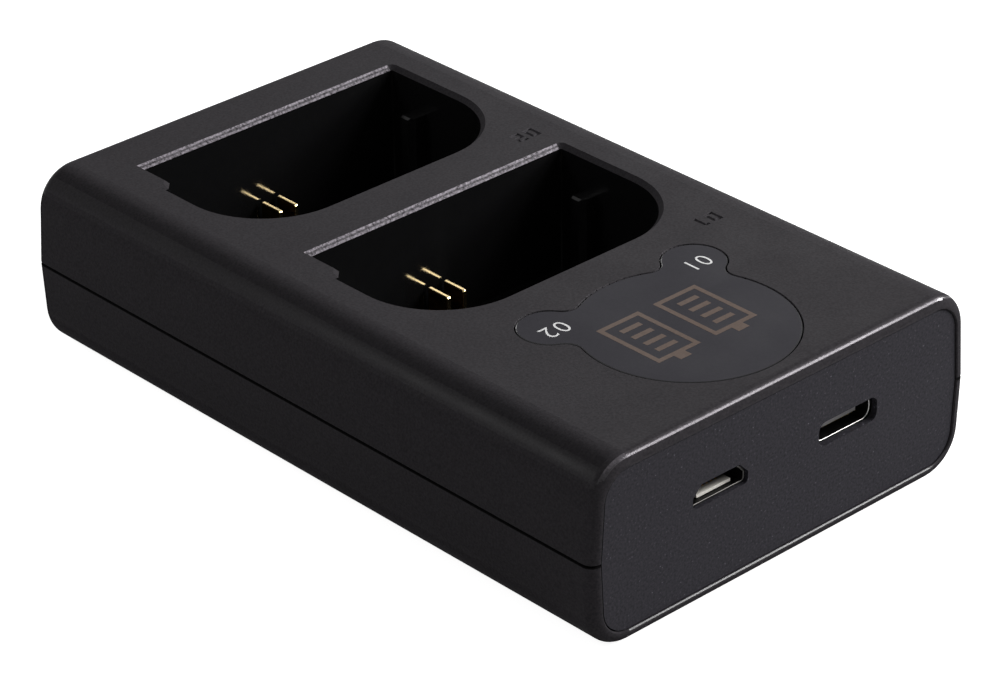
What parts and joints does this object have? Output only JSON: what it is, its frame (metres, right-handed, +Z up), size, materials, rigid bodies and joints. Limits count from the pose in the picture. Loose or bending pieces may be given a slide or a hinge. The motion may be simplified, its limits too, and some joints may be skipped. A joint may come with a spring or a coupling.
{
  "type": "camera battery charger",
  "caption": "Flat black charger for camera battery packs, with keyed D-shaped wells in its top, a round display window with lobes, and USB inlets in a recessed end panel.",
  "frame": {"origin": "middle of the underside, on the table", "axes": "+Z up; +Y along the case from the inlet end to the far well; +X to the right as the inlet end is seen from in front"},
  "size_m": [0.0572, 0.0922, 0.0226],
  "materials": {
    "case_plastic": "fine matt texture outside, smooth and glossy in the wells",
    "panel_plastic": "fine sparkling matt texture",
    "window_plastic": "smoked, satin",
    "contact_gold": "gold plated",
    "inlet_steel": "nickel plated",
    "black_insulator": "moulded",
    "grey_insulator": "moulded",
    "pale_insulator": "moulded",
    "board_laminate": "solder resist",
    "light_box_plastic": "moulded",
    "lamp_resin": "clear resin",
    "chip_resin": "moulded",
    "ferrite": "pressed and sintered",
    "ceramic": "fired ceramic",
    "screw_steel": "blackened"
  },
  "bodies": {
    "root": {"case_screws": "screw_steel", "charge_controllers": "chip_resin", "charge_inductors": "ferrite", "contact_board": "board_laminate", "control_board": "board_laminate", "display_window": "window_plastic", "end_panel": "panel_plastic", "far_left_blade": "contact_gold", "far_right_blade": "contact_gold", "filter_capacitors": "ceramic", "indicator_leds": "lamp_resin", "light_box": "light_box_plastic", "link_header": "black_insulator", "link_pins": "contact_gold", "lower_shell": "case_plastic", "micro_usb_contacts": "contact_gold", "micro_usb_shell": "inlet_steel", "micro_usb_tongue": "pale_insulator", "microcontroller": "chip_resin", "near_left_blade": "contact_gold", "near_right_blade": "contact_gold", "sense_resistors": "chip_resin", "upper_shell": "case_plastic", "usb_c_contacts": "contact_gold", "usb_c_shell": "inlet_steel", "usb_c_tongue": "grey_insulator"}
  },
  "joints": []
}
